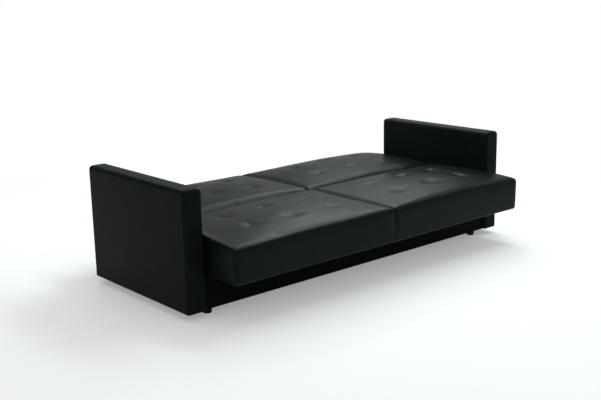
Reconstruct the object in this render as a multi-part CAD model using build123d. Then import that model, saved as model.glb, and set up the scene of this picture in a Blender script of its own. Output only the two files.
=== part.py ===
from build123d import *
import os

# Folding sofa bed, laid flat as a bed. Millimetres, front towards -Y, length along X, floor at Z = 0.

# Overall sizes
bed_depth = 1200
between_arms = 1900
arm_width = 89
arm_front = -380
arm_rear = 402
arm_top = 574
underside = 33

# Linen box
base_front = -371
base_rear = 393
base_top = 186
board = 16
end_board = 18
end_board_face = 935
end_board_top = 178
front_cover_skin = 1.2
floor_board = 3.2
centre_rail = (40, 40)
corner_block = 40

# Feet
foot_x = 902
foot_inset = 48
foot_top_radius = 21.5
foot_bottom_radius = 20.5
foot_screw_radius = 2.5

# Arms
arm_edge_radius = 10
arm_padding = 12
arm_closing_board = 6
arm_stile = 110
arm_rail = 50
arm_bolt_radius = 4
arm_bolt_hole = 4.4
arm_bolt_heights = (80, 150)
arm_bolt_reach = 52
arm_bolt_clearance = 22
packer_length = 60
packer_heights = (52, 172)

# Seat and back sections, which are alike, front to rear mirrored
section_end = 936
section_gap = 5
section_bottom = 187
crown_top = 386
crown_fall_across = 24
crown_fall_along = 16
side_draw_in = 4
plan_corner = 30
top_edge_radius = 28
lower_edge_radius = 22
padding_wall = 24
channel_half_width = 17
channel_depth = 24
slit_width = 14
slit_foot = 250
tuft_columns = (-235, 0, 235)
tuft_rows = (-105, 105)
tuft_radius = 36
tuft_depth = 14
button_radius = 10.5
button_rim = 2
button_dome = 3.5
button_seat_radius = 11

# Timber inside a section
lining = 1.5
rail_width = 40
rail_height = 41.5
slat_thickness = 10
slat_width = 60
slat_count = 14
slat_margin = 6
cross_rail_places = (-436, 0, 436)

# Fold mechanism, in the gap between section ends and arms, measured outwards along X
base_bracket_layer = (935, 938)
section_bracket_layer = (936.5, 939.5)
link_layer = (940, 943.5)
hinge_plate_layer = (944, 947.5)
pin_head_face = 949
link_pivot_height = 80
front_link_foot = 40
link_spacing = 120
link_lean = 100
link_half_width = 15
section_pivot_height = 338
section_ear = 12
hinge_plate_foot = 16
pin_radius = 5
pin_clearance = 0.09
pin_collar = 8
pin_head = 9
bracket_strip_height = 211
bracket_strip = (-300, -72)
bracket_half_width = 14
bracket_bolts = (-290, -195, -100)
bracket_bolt_radius = 4
bracket_bolt_head = 7
base_screw_radius = 2.5
base_screw_length = 14

arm_inner = between_arms / 2
arm_outer = arm_inner + arm_width
section_front = -bed_depth / 2
section_rear = -section_gap / 2
section_depth = section_rear - section_front
section_middle = (section_front + section_rear) / 2
half_middle = section_end / 2
pocket_top = section_bottom + lining + rail_height + slat_thickness
rear_pivot = (section_gap / 2 + top_edge_radius, section_pivot_height)
front_pivot = (-rear_pivot[0], section_pivot_height)
link_feet = [(front_link_foot + i * link_spacing, link_pivot_height) for i in range(2)]
link_heads = [(y - link_lean, z + link_lean) for y, z in link_feet]


# Helpers

def block(low, high):
    """Rectangular board between two opposite corners."""
    size = [b - a for a, b in zip(low, high)]
    middle = [(a + b) / 2 for a, b in zip(low, high)]
    return Pos(*middle) * Box(*size)


def rod(x0, x1, y, z, radius):
    """Round bar along X."""
    return Pos((x0 + x1) / 2, y, z) * Rot(0, 90, 0) * Cylinder(radius, x1 - x0)


def turned(steps, y, z):
    """Turned pin along X; each step is (from x, to x, radius)."""
    points = [(steps[0][0], 0)]
    for x0, x1, radius in steps:
        points += [(x0, radius), (x1, radius)]
    points.append((steps[-1][1], 0))
    profile = make_face(Polyline(points, close=True))
    return Pos(0, y, z) * revolve(profile, Axis.X)


def bar(start, end, radius):
    """Outline of a flat bar with round ends, in Y and Z."""
    ends = [Pos(*start) * Circle(radius), Pos(*end) * Circle(radius)]
    return make_hull([ring.edge() for ring in ends])


def steel(outline, layer):
    """Flat steel plate cut from an outline in Y and Z, filling a layer along X."""
    return extrude(Plane.YZ.offset(layer[0]) * outline, layer[1] - layer[0])


def to_left(shape):
    """The left-hand twin of a right-hand piece."""
    return mirror(shape, about=Plane.YZ)


def to_back(shape):
    """The back section's twin of a seat piece."""
    return mirror(shape, about=Plane.XZ)


def group(pieces):
    """Separate solids that share one node."""
    return Compound(children=[solid for piece in pieces for solid in piece.solids()])


# Linen box

def front_panel():
    """Front board, arm to arm, inside its upholstered cover."""
    reach = arm_inner - 0.3 - front_cover_skin
    skin = front_cover_skin
    return block((-reach, base_front + skin, underside + skin), (reach, base_front + board, base_top - skin))


def front_cover():
    """Leatherette turned over the top, bottom and ends of the front board, open at the rear."""
    reach = arm_inner - 0.3
    wrapped = block((-reach, base_front, underside), (reach, base_front + board, base_top))
    front_edges = wrapped.edges().filter_by(Axis.X).group_by(Axis.Y)[0]
    return fillet(front_edges, front_cover_skin * 0.9) - front_panel()


def rear_panel():
    """Plain rear board of the linen box."""
    reach = arm_inner - 0.3
    panel = block((-reach, base_rear - board, underside + floor_board), (reach, base_rear, base_top))
    return chamfer(panel.edges().filter_by(Axis.X).group_by(Axis.Z)[-1], 2)


def end_panel():
    """Right end board, drilled for the arm bolts and the base bracket's screws."""
    low = (end_board_face - end_board, base_front + board, underside + floor_board)
    panel = block(low, (end_board_face, base_rear - board, end_board_top))
    for y in arm_bolt_places():
        for z in arm_bolt_heights:
            panel -= rod(low[0] - 1, end_board_face + 1, y, z, arm_bolt_hole)
    for y, z in base_bracket_screw_places():
        panel -= rod(end_board_face - base_screw_length, end_board_face + 1, y, z, base_screw_radius)
    return panel


def box_floor():
    """Hardboard pinned under the boards, notched for the front board and drilled for the foot screws."""
    low = (-end_board_face, base_front + board, underside)
    sheet = block(low, (end_board_face, base_rear, underside + floor_board))
    for x, y in foot_places():
        sheet -= Pos(x, y, underside) * Cylinder(foot_screw_radius, 4 * floor_board)
    return sheet


def centre_batten():
    """Rail across the floor that stiffens the hardboard."""
    half = centre_rail[0] / 2
    low = (-half, base_front + board, underside + floor_board)
    rail = block(low, (half, base_rear - board, underside + floor_board + centre_rail[1]))
    return chamfer(rail.edges().filter_by(Axis.Y).group_by(Axis.Z)[-1], 3)


def corner_blocks():
    """Four timber blocks in the corners, which the feet are screwed to."""
    outer = end_board_face - end_board
    base = underside + floor_board
    blocks = []
    for x, y in foot_places():
        side = 1 if x > 0 else -1
        wall = base_front + board if y < 0 else base_rear - board
        inward = 1 if y < 0 else -1
        corners = ((side * outer, wall), (side * (outer - corner_block), wall + inward * corner_block))
        xs = sorted(c[0] for c in corners)
        ys = sorted(c[1] for c in corners)
        timber = block((xs[0], ys[0], base), (xs[1], ys[1], end_board_top - 4))
        free_edge = timber.edges().filter_by(Axis.Z).sort_by(lambda e: abs(e.center().X) + abs(e.center().Y))[0]
        timber = chamfer(free_edge, 12)
        blocks.append(timber - Pos(x, y, base) * Cylinder(foot_screw_radius, 60))
    return group(blocks)


def foot_places():
    """Corner places of the feet in plan."""
    return [(x, y) for y in (base_front + foot_inset, base_rear - foot_inset) for x in (-foot_x, foot_x)]


def foot():
    """Moulded round foot with a soft lower edge and a countersunk screw hole."""
    profile = Polyline(
        (foot_screw_radius + 0.2, underside),
        (foot_top_radius, underside),
        (foot_bottom_radius, 3),
        (foot_bottom_radius - 3, 0),
        (9, 0),
        (7, 6),
        (7, 20),
        (foot_screw_radius + 0.2, 20),
        close=True,
    )
    return revolve(Plane.XZ * make_face(profile), Axis.Z)


def foot_screw():
    """Pan-head screw from inside the foot up into its corner block."""
    head_top = 20
    profile = Polyline(
        (0, head_top - 3),
        (4.5, head_top - 3),
        (5.5, head_top),
        (foot_screw_radius, head_top),
        (foot_screw_radius, 58),
        (0, 62),
        close=True,
    )
    return revolve(Plane.XZ * make_face(profile), Axis.Z)


# Arms

def arm_bolt_places():
    """Front and rear bolt lines, just clear of the corner blocks."""
    inset = board + corner_block + arm_bolt_clearance
    return (base_front + inset, base_rear - inset)


def arm_cover():
    """Right arm's padded leatherette cover: a rounded slab, hollow from below."""
    slab = block((arm_inner, arm_front, underside), (arm_outer, arm_rear, arm_top))
    rounded = slab.edges().filter_by(Axis.Z) + slab.faces().sort_by(Axis.Z)[-1].edges()
    slab = fillet(rounded, arm_edge_radius)
    low, high = arm_core()
    slab -= block((low[0], low[1], underside - 1), high)
    return drill_for_arm_bolts(slab)


def arm_core():
    """Corners of the hollow inside the right arm's cover."""
    low = (arm_inner + arm_padding, arm_front + arm_padding, underside)
    high = (arm_outer - arm_padding, arm_rear - arm_padding, arm_top - arm_padding)
    return low, high


def arm_frame():
    """Right arm's timber frame: two stiles and three rails, glued up."""
    low, high = arm_core()
    bottom = low[2] + arm_closing_board
    frame = block((low[0], low[1], bottom), high)
    window_height = (high[2] - bottom - 3 * arm_rail) / 2
    for i in range(2):
        sill = bottom + arm_rail + i * (window_height + arm_rail)
        window_low = (low[0] - 1, low[1] + arm_stile, sill)
        frame -= block(window_low, (high[0] + 1, high[1] - arm_stile, sill + window_height))
    return drill_for_arm_bolts(frame)


def arm_underside():
    """Right arm's closing board, let into the cover from below."""
    low, high = arm_core()
    return block(low, (high[0], high[1], low[2] + arm_closing_board))


def drill_for_arm_bolts(piece):
    """Holes for the arm bolts, from the arm's inner face to the bolt tips."""
    for y in arm_bolt_places():
        for z in arm_bolt_heights:
            piece -= rod(arm_inner - 1, arm_inner + arm_bolt_reach, y, z, arm_bolt_radius)
    return piece


def arm_packers():
    """Right packing strips that hold the arm off the box end, clear of the fold mechanism."""
    strips = []
    for y in arm_bolt_places():
        low = (end_board_face, y - packer_length / 2, packer_heights[0])
        strip = block(low, (arm_inner, y + packer_length / 2, packer_heights[1]))
        for z in arm_bolt_heights:
            strip -= rod(end_board_face - 1, arm_inner + 1, y, z, arm_bolt_hole)
        strips.append(strip)
    return group(strips)


def arm_bolts():
    """Right arm's hexagon bolts with washers, put in from inside the linen box."""
    seat = end_board_face - end_board
    bolts = []
    for y in arm_bolt_places():
        for z in arm_bolt_heights:
            shank = turned([(seat - 2, seat, 8), (seat, arm_inner + arm_bolt_reach, arm_bolt_radius)], y, z)
            hexagon = Plane.YZ.offset(seat - 7.3) * (Pos(y, z) * RegularPolygon(6.5, 6, major_radius=False))
            bolts.append(shank + extrude(hexagon, 5.3))
    return group(bolts)


# Seat section; the back section is its mirror image front to rear

def crown_axis():
    """Line that the section's crown is turned about, and the crown's radius across the section."""
    half = section_depth / 2
    radius = (half ** 2 + crown_fall_across ** 2) / (2 * crown_fall_across)
    return Axis((0, section_middle, crown_top - radius), (1, 0, 0)), radius


def turn_over_crown(outline):
    """Solid that follows the crown from front to rear, from an outline in X and Z over the crown axis."""
    axis, _ = crown_axis()
    sweep = 24
    face = Plane.XZ.offset(-section_middle) * outline
    return revolve(face, axis, sweep).rotate(axis, -sweep / 2)


def crown_half():
    """Right half under its crown: a barrel, highest in the middle of the half."""
    _, radius = crown_axis()
    along = (half_middle ** 2 + crown_fall_along ** 2) / (2 * crown_fall_along)
    reach = half_middle + 10
    fall = along - (along ** 2 - reach ** 2) ** 0.5
    low, high = half_middle - reach, half_middle + reach
    floor = crown_top - radius
    arch = ThreePointArc((low, crown_top - fall), (half_middle, crown_top), (high, crown_top - fall))
    legs = Polyline((high, crown_top - fall), (high, floor), (low, floor), (low, crown_top - fall))
    return turn_over_crown(make_face([arch] + legs.edges()))


def half_outline():
    """Plan of the right half: front and end drawn in between the corners, outer corners rounded."""
    draw = side_draw_in
    sides = [
        ThreePointArc((0, section_front), (half_middle, section_front + draw), (section_end, section_front)),
        ThreePointArc(
            (section_end, section_front), (section_end - draw, section_middle), (section_end, section_rear)
        ),
        Polyline((section_end, section_rear), (0, section_rear), (0, section_front)),
    ]
    plan = make_face([edge for side in sides for edge in side.edges()])
    return fillet(plan.vertices().group_by(Axis.X)[-1], plan_corner)


def cushion_half():
    """Right half of the upholstery with soft edges all round but at the middle."""
    body = extrude(Pos(0, 0, section_bottom) * half_outline(), crown_top) & crown_half()
    at_middle = body.faces().sort_by(Axis.X)[0].edges()
    crown = body.faces().sort_by(Axis.Z)[-1].edges() - at_middle
    body = fillet(crown, top_edge_radius)
    at_middle = body.faces().sort_by(Axis.X)[0].edges()
    hem = body.faces().sort_by(Axis.Z)[0].edges() - at_middle
    return fillet(hem, lower_edge_radius)


def channel():
    """Sewn channel over the middle of the section, following the crown, with rounded shoulders."""
    top = crown_top - crown_fall_along
    width, depth = channel_half_width, channel_depth
    bend = (width ** 2 + depth ** 2) / (2 * depth)
    right = RadiusArc((0, top - depth), (width, top), -bend)
    left = RadiusArc((-width, top), (0, top - depth), -bend)
    lid = Polyline((width, top), (width, top + 40), (-width, top + 40), (-width, top))
    return turn_over_crown(make_face([right, left] + lid.edges()))


def front_slit():
    """Slit in the front and rear faces below the channel, fading out towards its foot."""
    top = crown_top - crown_fall_along
    cutters = []
    for face_y, into in ((section_front, 1), (section_rear, -1)):
        mouth = Plane.XY.offset(top) * make_face(
            Polyline((-slit_width / 2, face_y - into), (slit_width / 2, face_y - into),
                     (0, face_y + into * slit_width), close=True)
        )
        foot_tip = Plane.XY.offset(slit_foot) * make_face(
            Polyline((-0.5, face_y - into), (0.5, face_y - into), (0, face_y + into), close=True)
        )
        cutters.append(loft([mouth, foot_tip], ruled=True))
    return cutters


def tuft_places():
    """Plan place and crown height of every tuft of the seat."""
    _, across = crown_axis()
    along = (half_middle ** 2 + crown_fall_along ** 2) / (2 * crown_fall_along)
    places = []
    for side in (-1, 1):
        for column in tuft_columns:
            for row in tuft_rows:
                fall = column ** 2 / (2 * along) + row ** 2 / (2 * across)
                places.append((side * half_middle + column, section_middle + row, crown_top - fall))
    return places


def tuft_cutter():
    """Dimple of one tuft: rounded shoulder falling to the flat seat of its button."""
    run = tuft_radius - button_seat_radius
    bend = (run ** 2 + tuft_depth ** 2) / (2 * tuft_depth)
    shoulder = RadiusArc((button_seat_radius, -tuft_depth), (tuft_radius, 0), -bend)
    rest = Polyline(
        (tuft_radius, 0), (tuft_radius, 20), (0, 20), (0, -tuft_depth), (button_seat_radius, -tuft_depth)
    )
    return revolve(Plane.XZ * make_face([shoulder] + rest.edges()), Axis.Z)


def cushion():
    """Upholstery of the seat: two crowned halves, middle channel, tufts, and a pocket for the timber frame."""
    half = cushion_half()
    whole = half + to_left(half)
    whole -= [channel()] + front_slit()
    whole -= [Pos(*place) * tuft_cutter() for place in tuft_places()]
    low, high = timber_corners()
    whole -= block((low[0], low[1], section_bottom - 1), (high[0], high[1], pocket_top))
    bolt_holes = []
    for y in bracket_bolts:
        hole = rod(high[0] - 1, section_end + 2, y, bracket_strip_height, bracket_bolt_radius)
        bolt_holes += [hole, to_left(hole)]
    return whole - bolt_holes


def buttons():
    """Domed covered buttons, drawn down into the tufts."""
    bend = (button_radius ** 2 + button_dome ** 2) / (2 * button_dome)
    dome = RadiusArc((0, button_rim + button_dome), (button_radius, button_rim), bend)
    rest = Polyline((button_radius, button_rim), (button_radius, 0), (0, 0), (0, button_rim + button_dome))
    button = revolve(Plane.XZ * make_face([dome] + rest.edges()), Axis.Z)
    return group([Pos(x, y, z - tuft_depth) * button for x, y, z in tuft_places()])


def timber_corners():
    """Plan corners of the timber frame inside the upholstery, and its underside."""
    reach = section_end - padding_wall
    low = (-reach, section_front + padding_wall, section_bottom)
    high = (reach, section_rear - padding_wall, section_bottom + lining + rail_height)
    return low, high


def timber_frame():
    """Long front and rear rails, end rails and cross rails between them."""
    low, high = timber_corners()
    bottom = section_bottom + lining
    inner_front, inner_rear = low[1] + rail_width, high[1] - rail_width
    rails = [
        block((low[0], low[1], bottom), (high[0], inner_front, high[2])),
        block((low[0], inner_rear, bottom), high),
    ]
    for x in cross_rail_places:
        rails.append(block((x - rail_width / 2, inner_front, bottom), (x + rail_width / 2, inner_rear, high[2])))
    end_rail = block((high[0] - rail_width, inner_front, bottom), (high[0], inner_rear, high[2]))
    for y in bracket_bolts:
        end_rail -= rod(high[0] - rail_width - 1, high[0] + 1, y, bracket_strip_height, bracket_bolt_radius)
    return group(rails + [end_rail, to_left(end_rail)])


def slats():
    """Sprung slats laid across the rails, front to rear."""
    low, high = timber_corners()
    pitch = (high[0] - low[0]) / slat_count
    slat_low = (-slat_width / 2, low[1] + slat_margin, high[2])
    slat = block(slat_low, (slat_width / 2, high[1] - slat_margin, high[2] + slat_thickness))
    slat = fillet(slat.edges().filter_by(Axis.Y), 3)
    return group([Pos(low[0] + (i + 0.5) * pitch, 0, 0) * slat for i in range(slat_count)])


def underside_lining():
    """Woven lining stapled under the frame."""
    low, high = timber_corners()
    return block(low, (high[0], high[1], low[2] + lining))


def section_bracket():
    """Right seat bracket: a strip bolted along the end rail, cranked up to the hinge plate's pivot."""
    start = (bracket_strip[0], bracket_strip_height)
    elbow = (bracket_strip[1], bracket_strip_height)
    outline = bar(start, elbow, bracket_half_width) + bar(elbow, front_pivot, section_ear)
    inner_corner = outline.vertices().sort_by_distance((-95, 228, 0))[0]
    outline = fillet(inner_corner, 20)
    outline -= Pos(*front_pivot) * Circle(pin_radius + pin_clearance)
    for y in bracket_bolts:
        outline -= Pos(y, bracket_strip_height) * Circle(bracket_bolt_radius)
    return steel(outline, section_bracket_layer)


def section_bracket_bolts():
    """Round-head bolts of both seat brackets, through the padding into the end rails."""
    tip = timber_corners()[1][0] - rail_width
    face = section_bracket_layer[1]
    bolts = []
    for y in bracket_bolts:
        bolt = turned([(tip, face, bracket_bolt_radius), (face, face + 3, bracket_bolt_head)],
                      y, bracket_strip_height)
        bolts += [bolt, to_left(bolt)]
    return group(bolts)


# Fold mechanism

def base_bracket():
    """Right base bracket on the box end, holding the feet of both links."""
    corners = [Pos(y, z) * Circle(22) for y, z in link_feet]
    corners += [Pos(y, 140) * Circle(14) for y, _ in link_feet]
    outline = make_hull([ring.edge() for ring in corners])
    window_y = (link_feet[0][0] + link_feet[1][0]) / 2
    outline -= Pos(window_y, 100) * RectangleRounded(60, 50, 12)
    for foot_y, foot_z in link_feet:
        outline -= Pos(foot_y, foot_z) * Circle(pin_radius)
    for y, z in base_bracket_screw_places():
        outline -= Pos(y, z) * Circle(base_screw_radius)
    return steel(outline, base_bracket_layer)


def base_bracket_screw_places():
    """Four screws, above each link foot and between the feet."""
    first, last = link_feet[0][0], link_feet[1][0]
    return [(first, 140), (last, 140), (first + 30, 66), (last - 30, 66)]


def base_bracket_screws():
    """Flat-head screws of both base brackets, into the box ends."""
    face = base_bracket_layer[1]
    screws = []
    tip = end_board_face - base_screw_length
    for y, z in base_bracket_screw_places():
        screw = turned([(tip, face, base_screw_radius), (face, face + 1.6, 5)], y, z)
        screws += [screw, to_left(screw)]
    return group(screws)


def base_pins():
    """Right pins of the link feet, riveted into the base bracket."""
    low, high = link_layer
    steps = [
        (base_bracket_layer[0], base_bracket_layer[1], pin_radius),
        (base_bracket_layer[1], low, pin_collar),
        (low, high, pin_radius),
        (high, high + 2, pin_head),
    ]
    return group([turned(steps, y, z) for y, z in link_feet])


def link(which):
    """Right swing link: flat bar with a pivot hole at each end and a narrowed waist."""
    foot_end, head_end = link_feet[which], link_heads[which]
    outline = bar(foot_end, head_end, link_half_width)
    middle = ((foot_end[0] + head_end[0]) / 2, (foot_end[1] + head_end[1]) / 2)
    outline -= Pos(*middle) * Rot(0, 0, -45) * SlotOverall(44, 9)
    for y, z in (foot_end, head_end):
        outline -= Pos(y, z) * Circle(pin_radius + pin_clearance)
    return steel(outline, link_layer)


def hinge_plate():
    """Right hinge plate: on the link heads below, with the seat and back pivots above."""
    corners = [Pos(y, z) * Circle(hinge_plate_foot) for y, z in link_heads]
    corners += [Pos(y, z) * Circle(section_ear) for y, z in (front_pivot, rear_pivot)]
    outline = make_hull([ring.edge() for ring in corners])
    outline -= Pos(0, 240) * RectangleRounded(56, 90, 16)
    for y, z in link_heads + [front_pivot, rear_pivot]:
        outline -= Pos(y, z) * Circle(pin_radius)
    return steel(outline, hinge_plate_layer)


def plate_pins():
    """Right pins riveted into the hinge plate: two in the link heads, two in the section brackets."""
    inside, outside = hinge_plate_layer
    head = (outside, pin_head_face, pin_head)
    link_pin = [(link_layer[0], outside, pin_radius), head]
    bracket_pin = [
        (section_bracket_layer[0], section_bracket_layer[1] + 0.2, pin_radius),
        (section_bracket_layer[1] + 0.2, inside, pin_collar),
        (inside, outside, pin_radius),
        head,
    ]
    pins = [turned(link_pin, y, z) for y, z in link_heads]
    pins += [turned(bracket_pin, y, z) for y, z in (front_pivot, rear_pivot)]
    return group(pins)


# Every node of the assembly by name
nodes = {
    "base_front_panel": front_panel(),
    "base_front_cover": front_cover(),
    "base_rear_panel": rear_panel(),
    "base_floor": box_floor(),
    "base_centre_rail": centre_batten(),
    "base_corner_blocks": corner_blocks(),
    "base_bracket_screws": base_bracket_screws(),
    "foot_screws": group([Pos(x, y, 0) * foot_screw() for x, y in foot_places()]),
}

foot_names = ("front_left_foot", "front_right_foot", "rear_left_foot", "rear_right_foot")
for name, (x, y) in zip(foot_names, foot_places()):
    nodes[name] = Pos(x, y, 0) * foot()

handed_pieces = {
    "base_end_panel": end_panel(),
    "arm_cover": arm_cover(),
    "arm_frame": arm_frame(),
    "arm_underside": arm_underside(),
    "arm_packers": arm_packers(),
    "arm_bolts": arm_bolts(),
    "base_bracket": base_bracket(),
    "base_pins": base_pins(),
    "front_link": link(0),
    "rear_link": link(1),
    "hinge_plate": hinge_plate(),
    "plate_pins": plate_pins(),
    "seat_bracket": section_bracket(),
    "back_bracket": to_back(section_bracket()),
}
for name, piece in handed_pieces.items():
    nodes[name + "_right"] = piece
    nodes[name + "_left"] = to_left(piece)

section_pieces = {
    "cushion": cushion(),
    "buttons": buttons(),
    "frame": timber_frame(),
    "slats": slats(),
    "lining": underside_lining(),
    "bracket_bolts": section_bracket_bolts(),
}
for name, piece in section_pieces.items():
    nodes["seat_" + name] = piece
    nodes["back_" + name] = to_back(piece)

os.makedirs("parts", exist_ok=True)
for name, piece in nodes.items():
    piece.label = name
    export_step(piece, f"parts/{name}.step")
print(len(nodes), "nodes")
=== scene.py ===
import math

import bpy
import mathutils
import numpy as np
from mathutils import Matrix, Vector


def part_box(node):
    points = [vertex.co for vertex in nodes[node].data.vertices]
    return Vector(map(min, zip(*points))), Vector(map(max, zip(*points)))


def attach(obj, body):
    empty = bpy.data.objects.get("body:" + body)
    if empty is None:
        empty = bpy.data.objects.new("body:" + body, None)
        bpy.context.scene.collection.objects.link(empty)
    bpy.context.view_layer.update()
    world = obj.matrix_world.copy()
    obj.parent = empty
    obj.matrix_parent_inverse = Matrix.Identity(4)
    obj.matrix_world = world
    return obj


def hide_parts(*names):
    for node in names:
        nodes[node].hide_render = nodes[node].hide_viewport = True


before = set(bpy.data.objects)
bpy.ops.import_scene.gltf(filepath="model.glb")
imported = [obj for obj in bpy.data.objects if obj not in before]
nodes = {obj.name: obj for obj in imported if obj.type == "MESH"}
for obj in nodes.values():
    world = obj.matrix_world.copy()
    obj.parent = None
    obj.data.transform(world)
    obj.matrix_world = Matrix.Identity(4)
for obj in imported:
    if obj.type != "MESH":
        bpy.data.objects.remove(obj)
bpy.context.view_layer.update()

print("frame loaded:", len(nodes), "nodes")


# mesh helpers

gridSpacing = {
    "samples": 4001,
    "blendFrom": 1.6,  # the fine step holds to 0.6 of the reach and ends at 1.6 of it
    "edgeGaps": (0.7, 1.8), "edgeClear": 2.6,  # in edge steps
}


def gridLines(low, high, step, fineStep, places, reach):
    # spacing is fineStep near each place and step elsewhere: the line count follows the summed density
    x = np.linspace(low, high, gridSpacing["samples"])
    near = np.abs(x[:, None] - np.asarray(places)[None, :]).min(axis=1)
    blend = np.clip(gridSpacing["blendFrom"] - near / reach, 0, 1)
    density = (1 - blend) / step + blend / fineStep
    summed = np.concatenate([[0], np.cumsum((density[1:] + density[:-1]) / 2 * np.diff(x))])
    count = int(round(summed[-1]))
    return np.interp(np.linspace(0, summed[-1], count + 1), summed, x)


def addEdgeLines(lines, gap):
    # two more lines close to each end, so that a subdivided edge keeps its place
    low, high = lines[0], lines[-1]
    clear = gridSpacing["edgeClear"] * gap
    first, second = (share * gap for share in gridSpacing["edgeGaps"])
    inner = lines[(lines > low + clear) & (lines < high - clear)]
    return np.concatenate([[low, low + first, low + second], inner, [high - second, high - first, high]])


def latticeShell(xs, ys, zs):
    # outside of a block of grid lines: each side is a grid of two indices, and sides share edge points
    nx, ny, nz = len(xs), len(ys), len(zs)
    quads = []

    def side(i, j, k, turned):
        key = (i * ny + j) * nz + k
        cell = np.stack([key[:-1, :-1], key[1:, :-1], key[1:, 1:], key[:-1, 1:]], axis=-1).reshape(-1, 4)
        quads.append(cell[:, ::-1] if turned else cell)

    across, deep = np.meshgrid(np.arange(nx), np.arange(ny), indexing="ij")
    side(across, deep, np.full_like(across, nz - 1), False)
    i, k = np.meshgrid(np.arange(nx), np.arange(nz), indexing="ij")
    side(i, np.zeros_like(i), k, False)
    side(i, np.full_like(i, ny - 1), k, True)
    j, k = np.meshgrid(np.arange(ny), np.arange(nz), indexing="ij")
    side(np.full_like(j, nx - 1), j, k, False)
    side(np.zeros_like(j), j, k, True)
    side(across, deep, np.zeros_like(across), True)
    keys, index = np.unique(np.concatenate(quads), return_inverse=True)
    points = np.stack([xs[keys // (ny * nz)], ys[(keys // nz) % ny], zs[keys % nz]], axis=-1)
    return points, index.reshape(-1, 4).tolist()


def makePiece(name, points, faces, material, body):
    # smooth mesh at the origin, which rides on a body
    mesh = bpy.data.meshes.new(name)
    mesh.from_pydata(np.asarray(points, float).tolist(), [], faces)
    mesh.polygons.foreach_set("use_smooth", np.ones(len(mesh.polygons), bool))
    mesh.update()
    piece = bpy.data.objects.new(name, mesh)
    bpy.context.scene.collection.objects.link(piece)
    mesh.materials.append(material)
    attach(piece, body)
    return piece


def subdivideOnce(piece):
    smooth = piece.modifiers.new("smooth", "SUBSURF")
    smooth.levels = smooth.render_levels = 1


def readPoints(mesh):
    flat = np.empty(len(mesh.vertices) * 3)
    mesh.vertices.foreach_get("co", flat)
    return flat.reshape(-1, 3)


def roundBlock(points, low, high, bands):
    # a block's square edge bands bent to arcs: first the plan corners, then the top and bottom edges;
    # in a band the point at (a, b) goes to (a, b) times max(a, b) / hypot(a, b)
    middle = (low + high) / 2
    half = (high - low) / 2
    fromMiddle = points - middle
    sign = np.where(fromMiddle < 0, -1.0, 1.0)
    plan = np.abs(fromMiddle)[:, :2]
    straight = half[:2] - bands["corner"]
    corner = np.clip(plan - straight, 0, None)
    reach = np.hypot(corner[:, 0], corner[:, 1])
    safe = np.where(reach > 0, reach, 1.0)
    outward = corner / safe[:, None]
    bent = np.minimum(plan, straight) + corner * (corner.max(axis=1) / safe)[:, None]
    z = points[:, 2].copy()
    for band, rise, way in (
        (bands["top"], np.clip(points[:, 2] - (high[2] - bands["top"]), 0, None), 1),
        (bands["bottom"], np.clip(low[2] + bands["bottom"] - points[:, 2], 0, None), -1),
    ):
        edge = np.clip((plan - (half[:2] - band)).max(axis=1), 0, None)
        length = np.hypot(edge, rise)
        squeeze = np.where(length > 0, np.maximum(edge, rise) / np.where(length > 0, length, 1), 1)
        active = (rise > 0) & (edge > 0)
        bent = np.where(active[:, None], bent - outward * (edge * (1 - squeeze))[:, None], bent)
        z = np.where(active, z - way * rise * (1 - squeeze), z)
    return np.column_stack([sign[:, :2] * bent + middle[:2], z])


slowWaves = {
    "count": 4, "weaken": 0.6, "range": 2.4,
    "x": {"first": 5.1, "more": 4.3, "seed": 0.7, "phase": 1.7},
    "y": {"first": 7.3, "more": 3.1, "seed": -0.4, "phase": 2.3},
}


def gentleNoise(x, y, seed):
    # slow unevenness from about -1 to 1: products of two sine waves with fixed phases, each faster and weaker
    inX, inY = slowWaves["x"], slowWaves["y"]
    total = np.zeros_like(x)
    for k in range(slowWaves["count"]):
        paceX = inX["first"] + inX["more"] * k + inX["seed"] * seed
        paceY = inY["first"] + inY["more"] * k + inY["seed"] * seed
        wave = np.sin(paceX * x + inX["phase"] * k + seed) * np.sin(paceY * y + inY["phase"] * k + 2 * seed)
        total += wave / (1 + slowWaves["weaken"] * k)
    return total / slowWaves["range"]


# material helpers

def newMaterial(name):
    material = bpy.data.materials.new(name)
    material.use_nodes = True
    tree = material.node_tree
    shader = tree.nodes["Principled BSDF"]
    coordinate = tree.nodes.new("ShaderNodeTexCoord")
    return material, tree, shader, coordinate.outputs["Object"]


def addNode(tree, kind, links=None, **values):
    # values that name a socket are set on it, others on the node; links go from outputs to sockets
    node = tree.nodes.new(kind)
    for key, value in values.items():
        if key in node.inputs:
            node.inputs[key].default_value = value
        else:
            setattr(node, key, value)
    for key, source in (links or {}).items():
        tree.links.new(source, node.inputs[key])
    return node


def addNoise(tree, place, scale, detail, **more):
    noise = addNode(tree, "ShaderNodeTexNoise", {"Vector": place}, Scale=scale, Detail=detail, **more)
    return noise.outputs["Fac"]


def colourRamp(tree, source, stops, colours):
    # two colours, with a straight run between their stops
    ramp = addNode(tree, "ShaderNodeValToRGB", {"Fac": source})
    for element, stop, colour in zip(ramp.color_ramp.elements, stops, colours):
        element.position = stop
        element.color = (*colour, 1)
    return ramp.outputs["Color"]


def mapRange(tree, source, fromRange, toRange, **settings):
    node = addNode(tree, "ShaderNodeMapRange", {"Value": source}, **settings)
    for key, value in zip(("From Min", "From Max", "To Min", "To Max"), (*fromRange, *toRange)):
        node.inputs[key].default_value = value
    return node.outputs["Result"]


def linkMath(tree, operation, first, second):
    # maths node on two values, each an output or a number
    node = addNode(tree, "ShaderNodeMath", operation=operation)
    for socket, value in zip(node.inputs, (first, second)):
        if isinstance(value, float):
            socket.default_value = value
        else:
            tree.links.new(value, socket)
    return node.outputs["Value"]


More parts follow.
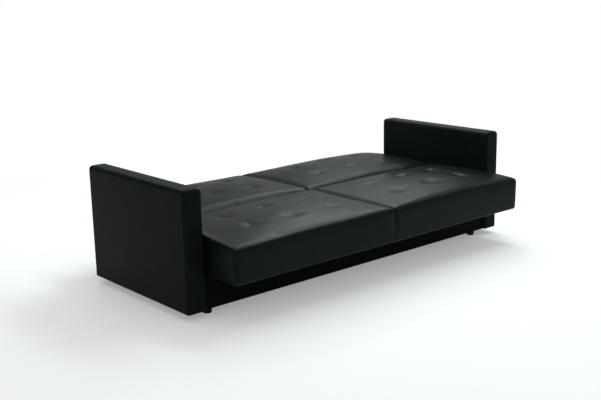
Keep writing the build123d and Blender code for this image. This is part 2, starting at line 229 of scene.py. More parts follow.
def bumpChain(tree, shader, layers):
    # each layer is a height, a strength and a depth in metres
    normal = None
    for height, strength, depth in layers:
        links = {"Height": height}
        if normal is not None:
            links["Normal"] = normal
        bump = addNode(tree, "ShaderNodeBump", links, Strength=strength, Distance=depth)
        normal = bump.outputs["Normal"]
    tree.links.new(normal, shader.inputs["Normal"])


# leatherette

leatheretteFinish = {
    "dark": (0.0040, 0.0064, 0.0060), "light": (0.0058, 0.0088, 0.0083), "stops": (0.35, 0.68),
    "toneScale": 7.0, "toneDetail": 4.0, "toneRoughness": 0.6,
    "roughness": (0.31, 0.41), "roughnessOver": (0.3, 0.7),
    "specular": 0.05, "specularTint": (0.90, 1.0, 0.94),
    "grainScale": 520.0, "grainDepth": 0.00022, "grainStrength": 0.35, "grainSmoothness": 0.6,
    "poreFineness": 2.6, "poreDetail": 3.0, "poreStrength": 0.25, "poreDepthShare": 0.5,
}
# the arms: the same leatherette with less specular, and a lighter colour that is painted light for more light
# on the arm faces
armPaintedLightFinish = {
    **leatheretteFinish, "specular": 0.021,
    "dark": (0.0052, 0.0080, 0.0076), "light": (0.0074, 0.0108, 0.0103),
}
# the base front cover: the same leatherette, rougher and with less specular, and a darker colour that is
# painted shade for the shade under the seat's overhang
boxPaintedShadeFinish = {
    **leatheretteFinish, "specular": 0.02, "roughness": (0.50, 0.60),
    "dark": (0.0022, 0.0034, 0.0032), "light": (0.0034, 0.0050, 0.0047),
}


def leatherette(name, s):
    # pebble grain of small cells, finer pores between them, slow tone and gloss changes over the hide
    material, tree, shader, place = newMaterial(name)
    pebble = addNode(tree, "ShaderNodeTexVoronoi", {"Vector": place}, Scale=s["grainScale"],
                     feature="SMOOTH_F1", Smoothness=s["grainSmoothness"])
    pores = addNoise(tree, place, s["grainScale"] * s["poreFineness"], s["poreDetail"])
    tone = addNoise(tree, place, s["toneScale"], s["toneDetail"], Roughness=s["toneRoughness"])
    colour = colourRamp(tree, tone, s["stops"], (s["dark"], s["light"]))
    tree.links.new(colour, shader.inputs["Base Color"])
    gloss = mapRange(tree, tone, s["roughnessOver"], s["roughness"])
    tree.links.new(gloss, shader.inputs["Roughness"])
    shader.inputs["Specular IOR Level"].default_value = s["specular"]
    shader.inputs["Specular Tint"].default_value = (*s["specularTint"], 1)
    bumpChain(tree, shader, [
        (pebble.outputs["Distance"], s["grainStrength"], s["grainDepth"]),
        (pores, s["poreStrength"], s["grainDepth"] * s["poreDepthShare"]),
    ])
    return material


# timber and boards

pineFinish = {
    "dark": (0.40, 0.25, 0.12), "light": (0.66, 0.47, 0.27), "stops": (0.36, 0.62),
    "ringScale": 90.0, "drawnOut": 0.06, "detail": 6.0, "noiseRoughness": 0.55, "distortion": 0.6,
    "roughness": 0.62, "bump": (0.3, 0.0004),
}
beechFinish = {**pineFinish, "dark": (0.42, 0.26, 0.14), "light": (0.62, 0.42, 0.25), "ringScale": 150.0}


def timber(name, s, along):
    # noise-bent rings, drawn out along one axis by a Mapping node
    material, tree, shader, place = newMaterial(name)
    stretch = [s["ringScale"]] * 3
    stretch[along] = s["ringScale"] * s["drawnOut"]
    mapped = addNode(tree, "ShaderNodeMapping", {"Vector": place}, Scale=stretch)
    rings = addNoise(tree, mapped.outputs["Vector"], 1.0, s["detail"],
                     Roughness=s["noiseRoughness"], Distortion=s["distortion"])
    colour = colourRamp(tree, rings, s["stops"], (s["dark"], s["light"]))
    tree.links.new(colour, shader.inputs["Base Color"])
    shader.inputs["Roughness"].default_value = s["roughness"]
    bumpChain(tree, shader, [(rings, *s["bump"])])
    return material


chipboardFinish = {
    "dark": (0.30, 0.21, 0.12), "light": (0.62, 0.48, 0.31), "stops": (0.3, 0.66), "chipScale": 160.0,
    "dustFineness": 1.7, "dustDetail": 5.0, "dustShare": 0.55, "roughness": 0.8, "bump": (0.2, 0.0004),
}
hardboardFinish = {
    **chipboardFinish, "dark": (0.13, 0.075, 0.04), "light": (0.25, 0.15, 0.08), "chipScale": 420.0,
    "roughness": 0.55,
}


def pressedBoard(name, s):
    # pressed chips: cells of several tones with a fine noise over them
    material, tree, shader, place = newMaterial(name)
    chips = addNode(tree, "ShaderNodeTexVoronoi", {"Vector": place}, Scale=s["chipScale"], Randomness=1.0)
    dust = addNoise(tree, place, s["chipScale"] * s["dustFineness"], s["dustDetail"])
    mixed = addNode(tree, "ShaderNodeMix", data_type="RGBA")
    factor, first, second = (mixed.inputs[k] for k in (0, 6, 7))  # the sockets that mix colours
    factor.default_value = s["dustShare"]
    tree.links.new(chips.outputs["Color"], first)
    tree.links.new(dust, second)
    colour = colourRamp(tree, mixed.outputs[2], s["stops"], (s["dark"], s["light"]))
    tree.links.new(colour, shader.inputs["Base Color"])
    shader.inputs["Roughness"].default_value = s["roughness"]
    bumpChain(tree, shader, [(dust, *s["bump"])])
    return material


# steel, plastic and lining

blackSteelFinish = {
    "colour": (0.035, 0.035, 0.037), "patchDarkens": 0.82, "stops": (0.35, 0.7), "metallic": 0.0,
    "roughness": 0.42, "roughnessSpread": 0.1, "streakScale": 260.0, "streakDetail": 4.0,
    "patchScale": 24.0, "patchDetail": 3.0, "bump": (0.15, 0.0002),
}
zincSteelFinish = {**blackSteelFinish, "colour": (0.60, 0.60, 0.57), "metallic": 1.0, "roughness": 0.34}


def steel(name, s):
    # rolled steel: fine unevenness under the finish, colour and gloss change in patches
    material, tree, shader, place = newMaterial(name)
    streaks = addNoise(tree, place, s["streakScale"], s["streakDetail"])
    patches = addNoise(tree, place, s["patchScale"], s["patchDetail"])
    darker = [c * s["patchDarkens"] for c in s["colour"]]
    tint = colourRamp(tree, patches, s["stops"], (darker, s["colour"]))
    tree.links.new(tint, shader.inputs["Base Color"])
    shader.inputs["Metallic"].default_value = s["metallic"]
    low, high = s["roughness"] - s["roughnessSpread"], s["roughness"] + s["roughnessSpread"]
    gloss = mapRange(tree, patches, (0.0, 1.0), (low, high))
    tree.links.new(gloss, shader.inputs["Roughness"])
    bumpChain(tree, shader, [(streaks, *s["bump"])])
    return material


footFinish = {
    "colour": (0.004, 0.004, 0.004), "wearLightens": 1.7, "stops": (0.4, 0.75),
    "roughness": 0.55, "specular": 0.1, "erosionScale": 900.0, "erosionDetail": 2.0,
    "wearScale": 40.0, "wearDetail": 3.0, "bump": (0.3, 0.0002),
}


def mouldedPlastic(name, s):
    # spark-eroded mould texture on black plastic, with paler worn patches
    material, tree, shader, place = newMaterial(name)
    erosion = addNoise(tree, place, s["erosionScale"], s["erosionDetail"])
    wear = addNoise(tree, place, s["wearScale"], s["wearDetail"])
    paler = [c * s["wearLightens"] for c in s["colour"]]
    tint = colourRamp(tree, wear, s["stops"], (s["colour"], paler))
    tree.links.new(tint, shader.inputs["Base Color"])
    shader.inputs["Roughness"].default_value = s["roughness"]
    shader.inputs["Specular IOR Level"].default_value = s["specular"]
    bumpChain(tree, shader, [(erosion, *s["bump"])])
    return material


liningFinish = {
    "dark": (0.016, 0.016, 0.017), "light": (0.045, 0.045, 0.047), "stops": (0.12, 0.45),
    "fibreAcross": 900, "fibreAlong": 140, "fibreUpright": 400, "detail": 3.0,
    "roughness": 0.9, "bump": (0.5, 0.0003),
}


def feltedLining(name, s):
    # pressed fibres: the product of two noises, stretched along and across
    material, tree, shader, place = newMaterial(name)
    across, along, upright = s["fibreAcross"], s["fibreAlong"], s["fibreUpright"]
    fibres = []
    for stretch in ((across, along, upright), (along, across, upright)):
        mapped = addNode(tree, "ShaderNodeMapping", {"Vector": place}, Scale=stretch)
        fibres.append(addNoise(tree, mapped.outputs["Vector"], 1.0, s["detail"]))
    both = linkMath(tree, "MULTIPLY", *fibres)
    colour = colourRamp(tree, both, s["stops"], (s["dark"], s["light"]))
    tree.links.new(colour, shader.inputs["Base Color"])
    shader.inputs["Roughness"].default_value = s["roughness"]
    bumpChain(tree, shader, [(both, *s["bump"])])
    return material


hide = leatherette("blackLeatherette", leatheretteFinish)
# the arms' copy of the leatherette has painted light in its colour
armHidePaintedLight = leatherette("armLeatherette", armPaintedLightFinish)
# the base front cover's copy of the leatherette has painted shade in its colour
boxHidePaintedShade = leatherette("boxLeatherette", boxPaintedShadeFinish)
pineAlongX = timber("pineAlongX", pineFinish, 0)
pineAlongY = timber("pineAlongY", pineFinish, 1)
pineUpright = timber("pineUpright", pineFinish, 2)
beech = timber("beech", beechFinish, 1)
chipboard = pressedBoard("chipboard", chipboardFinish)
hardboard = pressedBoard("hardboard", hardboardFinish)
blackSteel = steel("blackSteel", blackSteelFinish)
zincSteel = steel("zincSteel", zincSteelFinish)
footPlastic = mouldedPlastic("footPlastic", footFinish)
lining = feltedLining("feltedLining", liningFinish)

# finishes of the nodes that stay, by their names without a side; the base front cover's leatherette has
# painted shade in its colour
nodeFinish = {
    "base_front_panel": chipboard, "base_rear_panel": chipboard, "base_end_panel": chipboard,
    "base_front_cover": boxHidePaintedShade, "base_floor": hardboard, "base_centre_rail": pineAlongY,
    "base_corner_blocks": pineUpright, "base_bracket_screws": zincSteel, "foot_screws": zincSteel,
    "arm_frame": pineUpright, "arm_underside": hardboard, "arm_packers": pineUpright,
    "arm_bolts": zincSteel, "base_bracket": blackSteel, "base_pins": zincSteel,
    "front_link": blackSteel, "rear_link": blackSteel, "hinge_plate": blackSteel, "plate_pins": zincSteel,
    "seat_bracket": blackSteel, "back_bracket": blackSteel,
    "seat_frame": pineAlongX, "back_frame": pineAlongX, "seat_slats": beech, "back_slats": beech,
    "seat_bracket_bolts": zincSteel, "back_bracket_bolts": zincSteel,
}
for name, node in nodes.items():
    plainName = name.replace("_left", "").replace("_right", "")
    finish = footPlastic if name.endswith("_foot") else nodeFinish.get(plainName)
    if finish is not None:
        node.data.materials.clear()
        node.data.materials.append(finish)
print("finishes on the carried-over nodes")


# seat and back covers

sectionCover = {
    # lattice and the rounded block under the edge plane
    "step": 0.018, "fineStep": 0.0076, "heightStep": 0.018, "edgeStep": 0.004,
    "fineReach": 0.040, "heightFineReach": 0.026,
    "bands": {"corner": 0.012, "top": 0.017, "bottom": 0.014},
    "edgePlane": 0.352, "undersideGap": 0.0009,
    # crown, its falls to the edges, and the unevenly settled halves
    "crown": 0.034, "crownPower": 2, "fallAcross": 0.024, "farFall": 0.015,
    "fallAtEnd": 0.016, "fallAtChannel": 0.029, "cornerLiftEnd": 0.007, "cornerLiftChannel": 0.025,
    "leftSag": 0.006, "rightRise": 0.003, "unevenness": 0.0016, "unevenPower": 4,
    # edge beside the other section, shallower on the right half, with a short pull at each tuft column
    "junctionFall": {"seat": 0.006, "back": 0.015}, "junctionReach": {"seat": 0.035, "back": 0.065},
    "junctionRightShare": 0.35, "junctionBlend": 0.10,
    "pullDepth": 0.0048, "pullWidth": 0.0075, "pullReach": 0.050,
    # sides and hem
    "drawIn": 0.004, "endPower": 12, "facePower": 8, "hemDrawIn": 0.004, "hemPower": 1.5,
    "endSwell": {"seat": 0.011, "back": 0.0}, "endSwellFrom": 0.36, "endSwellBlend": 0.08,
    "endSwellTop": 0.9, "endSwellPower": 6,
    # tufts, their pleats and creases
    "tuftColumns": (-0.235, 0.0, 0.235), "tuftRows": (-0.105, 0.105), "sunkFrom": 0.72,
    "tuftReach": 0.066, "tuftDepth": 0.0074, "tuftPower": 1.9,
    "pleatHeight": 0.0008, "pleatCount": 7, "pleatTurn": 1.9, "pleatAt": 0.022, "pleatSpread": 0.010,
    "creaseDepth": 0.0006, "creaseLength": 0.034, "creaseWidth": 0.0055,
    "creaseBend": 0.16, "farRowBend": -0.6, "pleatsAbove": 0.33,
    # channel across the middle, and the slit below it in the long faces
    "channelReach": 0.013, "channelDepth": 0.008, "channelClear": 0.003,
    "channelLines": (0.0, 0.0012, 0.003, 0.006, 0.010),
    "slitReach": 0.0045, "slitDepth": 0.013, "slitFoot": 0.250, "slitBand": 0.03,
    # held still in the simulation
    "heldBelow": 0.2, "tuftHeld": 0.010, "tuftHeldFrom": 0.5, "channelHeld": 0.0035,
}
coverSimulation = {
    "frames": 20, "pressure": 4.0, "slack": -0.005, "cap": 0.0028, "mass": 0.3,
    "tension": 25.0, "shearDivisor": 3, "bending": 1.5, "smoothing": 2, "quality": 4,
}


def tuftCentres(low, high, s):
    # columns about the middle of each half, rows about the middle of the section
    halfMiddle = high[0] / 2
    middle = (low[1] + high[1]) / 2
    x = np.array([side * halfMiddle + column for side in (-1, 1) for column in s["tuftColumns"]])
    y = middle + np.array(s["tuftRows"])
    gx, gy = np.meshgrid(x, y, indexing="ij")
    return np.column_stack([gx.ravel(), gy.ravel()])


def crownHeight(x, y, low, high, s):
    # height over the edge plane: crown less squared falls along each half (u) and across (v), with a lift
    # of the corners in u squared times v squared; falls differ at the outer end and at the channel
    halfMiddle = high[0] / 2
    middle = (low[1] + high[1]) / 2
    u = np.clip((np.abs(x) - halfMiddle) / halfMiddle, -1, 1)
    v = np.clip((y - middle) / ((high[1] - low[1]) / 2), -1, 1)
    along = np.where(u < 0, s["fallAtChannel"], s["fallAtEnd"])
    lift = np.where(u < 0, s["cornerLiftChannel"], s["cornerLiftEnd"])
    across = s["fallAcross"] + np.where(y > abs(middle), s["farFall"], 0)  # more to the back's far edge
    # the left half has settled a little and the right one stands a little higher, by a sine to the end
    toEnd = np.sin(np.clip(np.abs(x) / high[0], 0, 1) * math.pi / 2)
    lean = np.where(x < 0, -s["leftSag"], s["rightRise"]) * toEnd
    # the edge beside the other section rolls over further, by the square of the nearness to it
    section = "seat" if middle < 0 else "back"
    toEdge = np.minimum(np.abs(y - low[1]), np.abs(high[1] - y))
    near = np.clip(1 - toEdge / s["junctionReach"][section], 0, 1)
    share = 1 - (1 - s["junctionRightShare"]) * np.clip(x / s["junctionBlend"], 0, 1)
    rollOver = np.where(np.abs(y) < abs(middle), share * s["junctionFall"][section] * near ** 2, 0)
    return s["crown"] + lean - along * u ** 2 - across * v ** 2 + lift * u ** 2 * v ** 2 - rollOver


def tuftFall(distance, s):
    # funnel of a tuft: one less the distance over its reach, raised to a power
    return s["tuftDepth"] * np.clip(1 - distance / s["tuftReach"], 0, 1) ** s["tuftPower"]


def sectionBlock(low, high, centres, s):
    # rounded block with closer lines at the tufts, the channel and the edges, and each point's height in
    # it from 0 to 1
    blockLow = np.array([low[0], low[1], low[2] + s["undersideGap"]])
    blockHigh = np.array([high[0], high[1], s["edgePlane"]])
    columns = np.concatenate([np.unique(centres[:, 0]), [0, low[0], high[0]]])
    rows = np.concatenate([np.unique(centres[:, 1]), [low[1], high[1]]])
    levels = [blockLow[2], blockHigh[2]]
    xs = gridLines(low[0], high[0], s["step"], s["fineStep"], columns, s["fineReach"])
    ys = gridLines(low[1], high[1], s["step"], s["fineStep"], rows, s["fineReach"])
    zs = gridLines(*levels, s["heightStep"], s["fineStep"], levels, s["heightFineReach"])
    xs, ys, zs = (addEdgeLines(lines, s["edgeStep"]) for lines in (xs, ys, zs))
    channel = np.array(s["channelLines"])
    clear = xs[np.abs(xs) > channel.max() + s["channelClear"]]
    xs = np.unique(np.concatenate([clear, channel, -channel]))
    lattice, quads = latticeShell(xs, ys, zs)
    points = roundBlock(lattice, blockLow, blockHigh, s["bands"])
    upper = np.clip((points[:, 2] - blockLow[2]) / (blockHigh[2] - blockLow[2]), 0, 1)
    return points, quads, upper


def sectionForm(section, s):
    # the block with a crown, sides, seams and tufts; each effect is weighed by powers of the height in the
    # block (upper) and of the nearness to an end (atEnd) or to a long face (atFace, atOuter)
    low, high = (np.array(corner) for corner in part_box(section + "_cushion"))
    centres = tuftCentres(low, high, s)
    points, quads, upper = sectionBlock(low, high, centres, s)
    x, y = points[:, 0].copy(), points[:, 1].copy()
    halfMiddle = high[0] / 2
    middleY, halfY = (low[1] + high[1]) / 2, (high[1] - low[1]) / 2
    endWay, faceWay = np.sign(x), np.sign(y - middleY)
    atEnd = np.clip(np.abs(x) / high[0], 0, 1) ** s["endPower"]
    atFace = np.clip(np.abs(y - middleY) / halfY, 0, 1) ** s["facePower"]

    points[:, 2] += upper ** s["crownPower"] * crownHeight(x, y, low, high, s)
    points[:, 2] += upper ** s["unevenPower"] * s["unevenness"] * gentleNoise(x, y, low[1])

    # the outer face and the ends are drawn in between their corners by a parabola
    outer = low[1] if abs(low[1]) > abs(high[1]) else high[1]
    atOuter = np.clip((y - middleY) / (outer - middleY), 0, 1) ** s["facePower"]
    bow = 1 - np.clip((np.abs(x) - halfMiddle) / halfMiddle, -1, 1) ** 2
    points[:, 1] -= np.sign(outer - middleY) * s["drawIn"] * bow * atOuter
    across = 1 - np.clip((y - middleY) / halfY, -1, 1) ** 2
    points[:, 0] -= endWay * s["drawIn"] * across * atEnd

    # the seat's ends swell clear of the hinges, and the hem is drawn in below
    clearOfHinge = np.clip((np.abs(y) - s["endSwellFrom"]) / s["endSwellBlend"], 0, 1)
    slimmer = 1 - (1 - s["endSwellTop"]) * upper ** s["endSwellPower"]
    points[:, 0] += endWay * (s["endSwell"][section] * clearOfHinge * slimmer) * atEnd
    hem = s["hemDrawIn"] * (1 - upper) ** s["hemPower"]
    points[:, 0] -= endWay * hem * atEnd
    points[:, 1] -= faceWay * hem * atFace

    # tufts and channel sink the top, the channel by the square of the nearness to it
    onTop = np.clip((upper - s["sunkFrom"]) / (1 - s["sunkFrom"]), 0, 1) ** 2
    distance = np.hypot(x[:, None] - centres[None, :, 0], y[:, None] - centres[None, :, 1]).min(axis=1)
    points[:, 2] -= onTop * tuftFall(distance, s)
    channel = np.clip(1 - np.abs(x) / s["channelReach"], 0, 1) ** 2
    points[:, 2] -= onTop * s["channelDepth"] * channel

    # the slit goes into the long faces in the same way, and fades out downwards
    slit = np.clip(1 - np.abs(x) / s["slitReach"], 0, 1) ** 2
    fade = np.clip((points[:, 2] - s["slitFoot"]) / (s["edgePlane"] - s["slitFoot"]), 0, 1)
    inBand = np.clip((np.abs(y - middleY) - halfY + s["slitBand"]) / s["slitBand"], 0, 1)
    points[:, 1] -= faceWay * s["slitDepth"] * slit * fade * inBand

    held = (upper < s["heldBelow"]) | ((distance < s["tuftHeld"]) & (onTop > s["tuftHeldFrom"]))
    held |= (np.abs(x) < s["channelHeld"]) & (points[:, 2] > s["slitFoot"])
    return points, quads, held, centres


def settleCover(start, quads, held, s):
    # cloth under pressure with its held points fixed; each point's travel is capped, then eased by its
    # neighbours
    moving = ~held[np.array(quads)].all(axis=1)
    mesh = bpy.data.meshes.new("settling")
    mesh.from_pydata(start.tolist(), [], np.array(quads)[moving].tolist())
    piece = bpy.data.objects.new("settling", mesh)
    scene = bpy.context.scene
    scene.collection.objects.link(piece)
    group = piece.vertex_groups.new(name="held")
    group.add(np.flatnonzero(held).tolist(), 1.0, "REPLACE")
    cloth = piece.modifiers.new("cover", "CLOTH")
    c = cloth.settings
    c.vertex_group_mass = "held"
    c.use_pressure = True
    c.uniform_pressure_force = s["pressure"]
    c.mass = s["mass"]
    c.shrink_min = s["slack"]
    c.tension_stiffness = s["tension"]
    c.compression_stiffness = s["tension"]
    c.shear_stiffness = s["tension"] / s["shearDivisor"]
    c.bending_stiffness = s["bending"]
    c.quality = s["quality"]
    c.effector_weights.gravity = 0
    cloth.point_cache.frame_end = s["frames"]
    for step in range(1, s["frames"] + 1):
        scene.frame_set(step)
    settled = piece.evaluated_get(bpy.context.evaluated_depsgraph_get())
    travel = readPoints(settled.data) - start
    edges = np.empty(len(mesh.edges) * 2, int)
    mesh.edges.foreach_get("vertices", edges)
    bpy.data.objects.remove(piece)
    bpy.data.meshes.remove(mesh)
    scene.frame_set(1)
    length = np.linalg.norm(travel, axis=1, keepdims=True)
    travel *= np.minimum(1, s["cap"] / np.maximum(length, 1e-9))
    a, b = edges.reshape(-1, 2).T
    count = np.maximum(np.bincount(np.concatenate([a, b]), minlength=len(start)), 1)[:, None]
    for _ in range(s["smoothing"]):
        total = np.zeros_like(travel)
        np.add.at(total, a, travel[b])
        np.add.at(total, b, travel[a])
        travel = np.where(held[:, None], travel, 0.5 * travel + 0.5 * total / count)
    print("cover settled, greatest travel", round(float(length.max()) * 1000, 1), "mm")
    return start + travel


def pleatTufts(points, centres, s):
    # short radial pleats round each tuft: a cosine in the angle under a bell in the distance
    points = points.copy()
    nearest = np.hypot(*(points[:, None, k] - centres[None, :, k] for k in (0, 1))).argmin(axis=1)
    dx, dy = (points[:, :2] - centres[nearest]).T
    wave = np.cos(s["pleatCount"] * np.arctan2(dy, dx) + s["pleatTurn"] * nearest)
    bell = np.exp(-((np.hypot(dx, dy) - s["pleatAt"]) / s["pleatSpread"]) ** 2)
    # and a pulled crease along the length through each tuft, bent at its ends, one way in each row
    rowWay = np.where(nearest % 2 == 0, 1.0, s["farRowBend"])
    bend = dy - s["creaseBend"] * np.abs(dx) * rowWay
    crease = np.exp(-(bend / s["creaseWidth"]) ** 2 - (dx / s["creaseLength"]) ** 2)
    onTop = points[:, 2] > s["pleatsAbove"]
    points[:, 2] += np.where(onTop, s["pleatHeight"] * wave * bell - s["creaseDepth"] * crease, 0)
    # on the roll beside the other section, a short pull in line with each column of tufts
    toJunction = np.clip(1 - np.abs(points[:, 1]) / s["pullReach"], 0, 1) * onTop
    points[:, 2] -= s["pullDepth"] * np.exp(-(dx / s["pullWidth"]) ** 2) * np.sqrt(toJunction)
    return points


for section in ("seat", "back"):
    points, faces, held, centres = sectionForm(section, sectionCover)
    points = settleCover(points, faces, held, coverSimulation)
    points = pleatTufts(points, centres, sectionCover)
    cover = makePiece(section + "Cover", points, faces, hide, section)
    subdivideOnce(cover)
    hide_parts(section + "_cushion")
    print(section, "cover:", len(points), "points")


# tuft buttons

tuftButton = {"radius": 0.0095, "rim": 0.0020, "dome": 0.0028, "sunk": 0.0008, "rings": 7, "spokes": 20}


def buttonForm(section, s, coverSettings):
    # domed cap: radius runs to the rim on a sine, height on a cosine, then a straight rim down to a flat
    # bottom; one point closes the top and one the bottom
    t = np.linspace(0.0, math.pi / 2, s["rings"])[1:]
    radius = s["radius"] * np.append(np.sin(t), 1.0)[:, None]
    height = np.append(s["rim"] + s["dome"] * np.cos(t), 0.0)[:, None]
    turn = np.linspace(0, 2 * math.pi, s["spokes"], endpoint=False)
    grids = np.broadcast_arrays(radius * np.cos(turn), radius * np.sin(turn), height)
    rings = np.stack(grids, axis=-1).reshape(-1, 3)
    button = np.vstack([rings, [[0, 0, s["rim"] + s["dome"]], [0, 0, 0]]])
    key = np.arange(len(rings)).reshape(len(radius), s["spokes"])
    after = np.roll(key, -1, axis=1)
    wall = np.stack([key[:-1], key[1:], after[1:], after[:-1]], axis=-1).reshape(-1, 4)
    top = np.column_stack([np.full(s["spokes"], len(rings)), key[0], after[0]])
    bottom = np.column_stack([np.full(s["spokes"], len(rings) + 1), after[-1], key[-1]])
    # one at the bottom of each tuft
    low, high = (np.array(corner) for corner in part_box(section + "_cushion"))
    x, y = tuftCentres(low, high, coverSettings).T
    level = coverSettings["edgePlane"] + crownHeight(x, y, low, high, coverSettings)
    level += coverSettings["unevenness"] * gentleNoise(x, y, low[1])
    level -= coverSettings["tuftDepth"] + s["sunk"]
    places = np.column_stack([x, y, level])
    points = (button[None, :, :] + places[:, None, :]).reshape(-1, 3)
    shift = (np.arange(len(places)) * len(button))[:, None, None]
    faces = []
    for faceSet in (wall, top, bottom):
        faces += (faceSet + shift).reshape(-1, faceSet.shape[1]).tolist()
    return points, faces


for section in ("seat", "back"):
    points, faces = buttonForm(section, tuftButton, sectionCover)
    buttons = makePiece(section + "TuftButtons", points, faces, hide, section)
    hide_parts(section + "_buttons")
print("tuft buttons made")


# arm covers

armCover = {
    "step": 0.020, "fineStep": 0.0032, "fineReach": 0.014,
    "bands": {"corner": 0.012, "top": 0.020, "bottom": 0.006},
    "outerPadding": 0.005, "topPadding": 0.003, "frontPadding": 0.008,
    "innerPadding": 0.002, "innerPaddingTo": -0.2, "innerPaddingBlend": 0.1,
    "swell": 0.003, "topSwellShare": 0.6, "unevenness": 0.0008, "sidePower": 6, "topPower": 8,
}


def armForm(node, s):
    # slab with rounded edges whose outer face swells between its edges by a product of two parabolas, its
    # top by one, and whose inner face is padded towards the front
    low, high = (np.array(corner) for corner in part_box(node))
    if high[0] > 0:
        high[0] += s["outerPadding"]
    else:
        low[0] -= s["outerPadding"]
    high[2] += s["topPadding"]
    low[1] -= s["frontPadding"]
    lines = [gridLines(*ends, s["step"], s["fineStep"], ends, s["fineReach"]) for ends in zip(low, high)]
    lattice, quads = latticeShell(*lines)
    points = roundBlock(lattice, low, high, s["bands"])
    half, middle = (high - low) / 2, (high + low) / 2
    v = (points - middle) / half
    outward = np.sign(middle[0])
    outside = np.clip(outward * v[:, 0], 0, 1) ** s["sidePower"]
    bulge = (1 - v[:, 1] ** 2) * (1 - v[:, 2] ** 2)
    uneven = s["unevenness"] * gentleNoise(points[:, 1], points[:, 2], outward) * np.sqrt(np.abs(bulge))
    points[:, 0] += outward * outside * (s["swell"] * bulge + uneven)
    above = np.clip(v[:, 2], 0, 1) ** s["topPower"]
    points[:, 2] += above * s["swell"] * s["topSwellShare"] * (1 - v[:, 0] ** 2)
    inside = np.clip(-outward * v[:, 0], 0, 1) ** s["sidePower"]
    inside *= np.clip((s["innerPaddingTo"] - points[:, 1]) / s["innerPaddingBlend"], 0, 1)
    points[:, 0] -= outward * s["innerPadding"] * inside
    return points, quads


for side in ("left", "right"):
    points, quads = armForm("arm_cover_" + side, armCover)
    # the arm covers' leatherette has painted light in its colour
    arm = makePiece(side + "ArmCover", points, quads, armHidePaintedLight, "base")
    subdivideOnce(arm)
    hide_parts("arm_cover_" + side)
print("arm covers made")


# linings under the seat and the back

underLining = {"step": 0.02, "ripple": 0.0002, "ripplePace": 3, "rippleSeed": 1.0, "drop": 0.0002}


def liningForm(low, high, s):
    # flat grid whose height is a slow ripple over the underside plane, facing down
    xs = np.linspace(low[0], high[0], int((high[0] - low[0]) / s["step"]))
    ys = np.linspace(low[1], high[1], int((high[1] - low[1]) / s["step"]))
    gx, gy = np.meshgrid(xs, ys, indexing="ij")
    ripple = gentleNoise(gx * s["ripplePace"], gy * s["ripplePace"], s["rippleSeed"])
    gz = low[2] + s["drop"] + s["ripple"] * ripple
    points = np.stack([gx, gy, gz], axis=-1).reshape(-1, 3)
    key = np.arange(len(points)).reshape(gx.shape)
    faces = np.stack([key[:-1, :-1], key[:-1, 1:], key[1:, 1:], key[1:, :-1]], axis=-1).reshape(-1, 4)
    return points, faces.tolist()


for section in ("seat", "back"):
    low, high = (np.array(corner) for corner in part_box(section + "_lining"))
    points, faces = liningForm(low, high, underLining)
    sheet = makePiece(section + "Lining", points, faces, lining, section)
    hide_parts(section + "_lining")
print("linings made")


# floor, light and camera

studio = {
    "floorHalf": 30.0, "floorColour": (0.64, 0.64, 0.64), "floorGlow": 0.28, "floorPlain": (1.7, 3.4),
    "domeHeights": (0.15, 0.9), "domeLevels": (0.58, 0.70),
    "rearShade": {"towards": (-0.15, 0.98, 0.10), "between": (0.60, 0.95), "leaves": 0.40},
    "lamps": {
        "overhead": {
            "radiance": 12.0, "size": (2.6, 0.6), "colour": (0.80, 1.0, 0.97),
            "place": (1.3, 0.25, 2.9), "aim": (0.2, 0.0, 0.3),
        },
        "rightRear": {
            "radiance": 6.0, "size": (1.5, 1.1), "colour": (0.90, 1.0, 0.98),
            "place": (2.4, 1.8, 2.6), "aim": (0.2, -0.1, 0.36),
        },
        "rear": {
            "radiance": 4.0, "size": (1.8, 1.0), "colour": (0.96, 1.0, 0.99),
            "place": (-0.2, 2.2, 2.7), "aim": (0.0, 0.0, 0.36),
        },
        "front": {
            "radiance": 2.5, "size": (2.2, 1.0), "colour": (0.96, 1.0, 0.99),
            "place": (-0.9, -3.6, 2.8), "aim": (0.2, 0.0, 0.36),
        },
    },
}


def raysOf(tree, *kinds):
    # 1 for a ray of any of these kinds, else 0
    path = tree.nodes.new("ShaderNodeLightPath")
    found = path.outputs[kinds[0]]
    for kind in kinds[1:]:
        found = linkMath(tree, "MAXIMUM", found, path.outputs[kind])
    return found


def buildWorld(scene, s):
    # a pale dome, lower towards the horizon and in one patch at the rear, behind a white background
    world = bpy.data.worlds.new("studioWorld")
    scene.world = world
    world.use_nodes = True
    tree = world.node_tree
    background = tree.nodes["Background"]
    background.inputs["Color"].default_value = (1, 1, 1, 1)
    way = tree.nodes.new("ShaderNodeTexCoord").outputs["Generated"]
    height = addNode(tree, "ShaderNodeSeparateXYZ", {"Vector": way}).outputs["Z"]
    dome = mapRange(tree, height, s["domeHeights"], s["domeLevels"], interpolation_type="SMOOTHSTEP")
    shade = s["rearShade"]
    nearness = addNode(tree, "ShaderNodeVectorMath", operation="DOT_PRODUCT")
    tree.links.new(way, nearness.inputs[0])
    nearness.inputs[1].default_value = shade["towards"]
    dimmed = mapRange(tree, nearness.outputs["Value"], shade["between"], (1.0, shade["leaves"]),
                      interpolation_type="SMOOTHSTEP")
    shaded = linkMath(tree, "MULTIPLY", dome, dimmed)
    seen = raysOf(tree, "Is Camera Ray", "Is Transmission Ray")
    tree.links.new(linkMath(tree, "MAXIMUM", shaded, seen), background.inputs["Strength"])


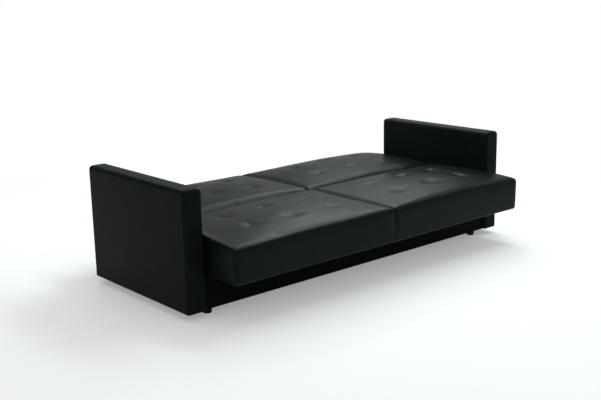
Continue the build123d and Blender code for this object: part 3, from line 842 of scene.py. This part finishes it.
def buildFloor(scene, s):
    # pale floor that keeps the shadow, and away from the object turns to the plain white of the background
    h = s["floorHalf"]
    mesh = bpy.data.meshes.new("floor")
    mesh.from_pydata([(-h, -h, 0), (h, -h, 0), (h, h, 0), (-h, h, 0)], [], [(0, 1, 2, 3)])
    floor = bpy.data.objects.new("floor", mesh)
    scene.collection.objects.link(floor)
    paint, tree, shader, place = newMaterial("floorPaint")
    shader.inputs["Base Color"].default_value = (*s["floorColour"], 1)
    shader.inputs["Roughness"].default_value = 1.0
    shader.inputs["Specular IOR Level"].default_value = 0.0
    shader.inputs["Emission Color"].default_value = (1, 1, 1, 1)
    seen = raysOf(tree, "Is Camera Ray", "Is Transmission Ray", "Is Glossy Ray")
    glow = linkMath(tree, "MULTIPLY", seen, s["floorGlow"])
    tree.links.new(glow, shader.inputs["Emission Strength"])
    away = addNode(tree, "ShaderNodeVectorMath", operation="LENGTH")
    tree.links.new(place, away.inputs[0])
    plain = mapRange(tree, away.outputs["Value"], s["floorPlain"], (0.0, 1.0),
                     interpolation_type="SMOOTHSTEP")
    white = addNode(tree, "ShaderNodeEmission", {"Strength": seen})
    mixed = tree.nodes.new("ShaderNodeMixShader")
    for socket, source in zip(mixed.inputs, (plain, shader.outputs["BSDF"], white.outputs["Emission"])):
        tree.links.new(source, socket)
    tree.links.new(mixed.outputs["Shader"], tree.nodes["Material Output"].inputs["Surface"])
    mesh.materials.append(paint)


def buildLamps(scene, s):
    # area lamps: the power is the radiance times pi times the area
    for name, entry in s["lamps"].items():
        lamp = bpy.data.lights.new(name, "AREA")
        lamp.shape = "RECTANGLE"
        lamp.size, lamp.size_y = entry["size"]
        lamp.energy = entry["radiance"] * math.pi * lamp.size * lamp.size_y
        lamp.color = entry["colour"]
        light = bpy.data.objects.new(name, lamp)
        light.location = entry["place"]
        aim = mathutils.Vector(entry["aim"]) - mathutils.Vector(entry["place"])
        light.rotation_euler = aim.to_track_quat("-Z", "Y").to_euler()
        scene.collection.objects.link(light)


photoView = {
    "imageWidth": 601, "focalPixels": 935.6, "sensor": 36.0,
    "eye": (-3.121, -3.534, 1.418), "yaw": 40.8, "pitch": 13.35, "roll": -1.13,
}


def placeCamera(scene, s):
    # forward from yaw and pitch, right level with the floor, then right and up turned by the roll
    yaw, pitch, roll = (math.radians(s[key]) for key in ("yaw", "pitch", "roll"))
    forward = np.array([math.sin(yaw) * math.cos(pitch), math.cos(yaw) * math.cos(pitch), -math.sin(pitch)])
    level = np.array([math.cos(yaw), -math.sin(yaw), 0.0])
    upward = np.cross(level, forward)
    right = math.cos(roll) * level + math.sin(roll) * upward
    up = -math.sin(roll) * level + math.cos(roll) * upward
    data = bpy.data.cameras.new("photoCamera")
    data.sensor_width = s["sensor"]
    data.lens = s["focalPixels"] / s["imageWidth"] * s["sensor"]
    camera = bpy.data.objects.new("photoCamera", data)
    turn = np.eye(4)
    turn[:3] = np.column_stack([right, up, -forward, s["eye"]])
    camera.matrix_world = mathutils.Matrix(turn.tolist())
    scene.collection.objects.link(camera)
    scene.camera = camera


studioScene = bpy.context.scene
studioScene.view_settings.view_transform = "Standard"
buildWorld(studioScene, studio)
buildFloor(studioScene, studio)
buildLamps(studioScene, studio)
placeCamera(studioScene, photoView)
print("studio and camera placed")
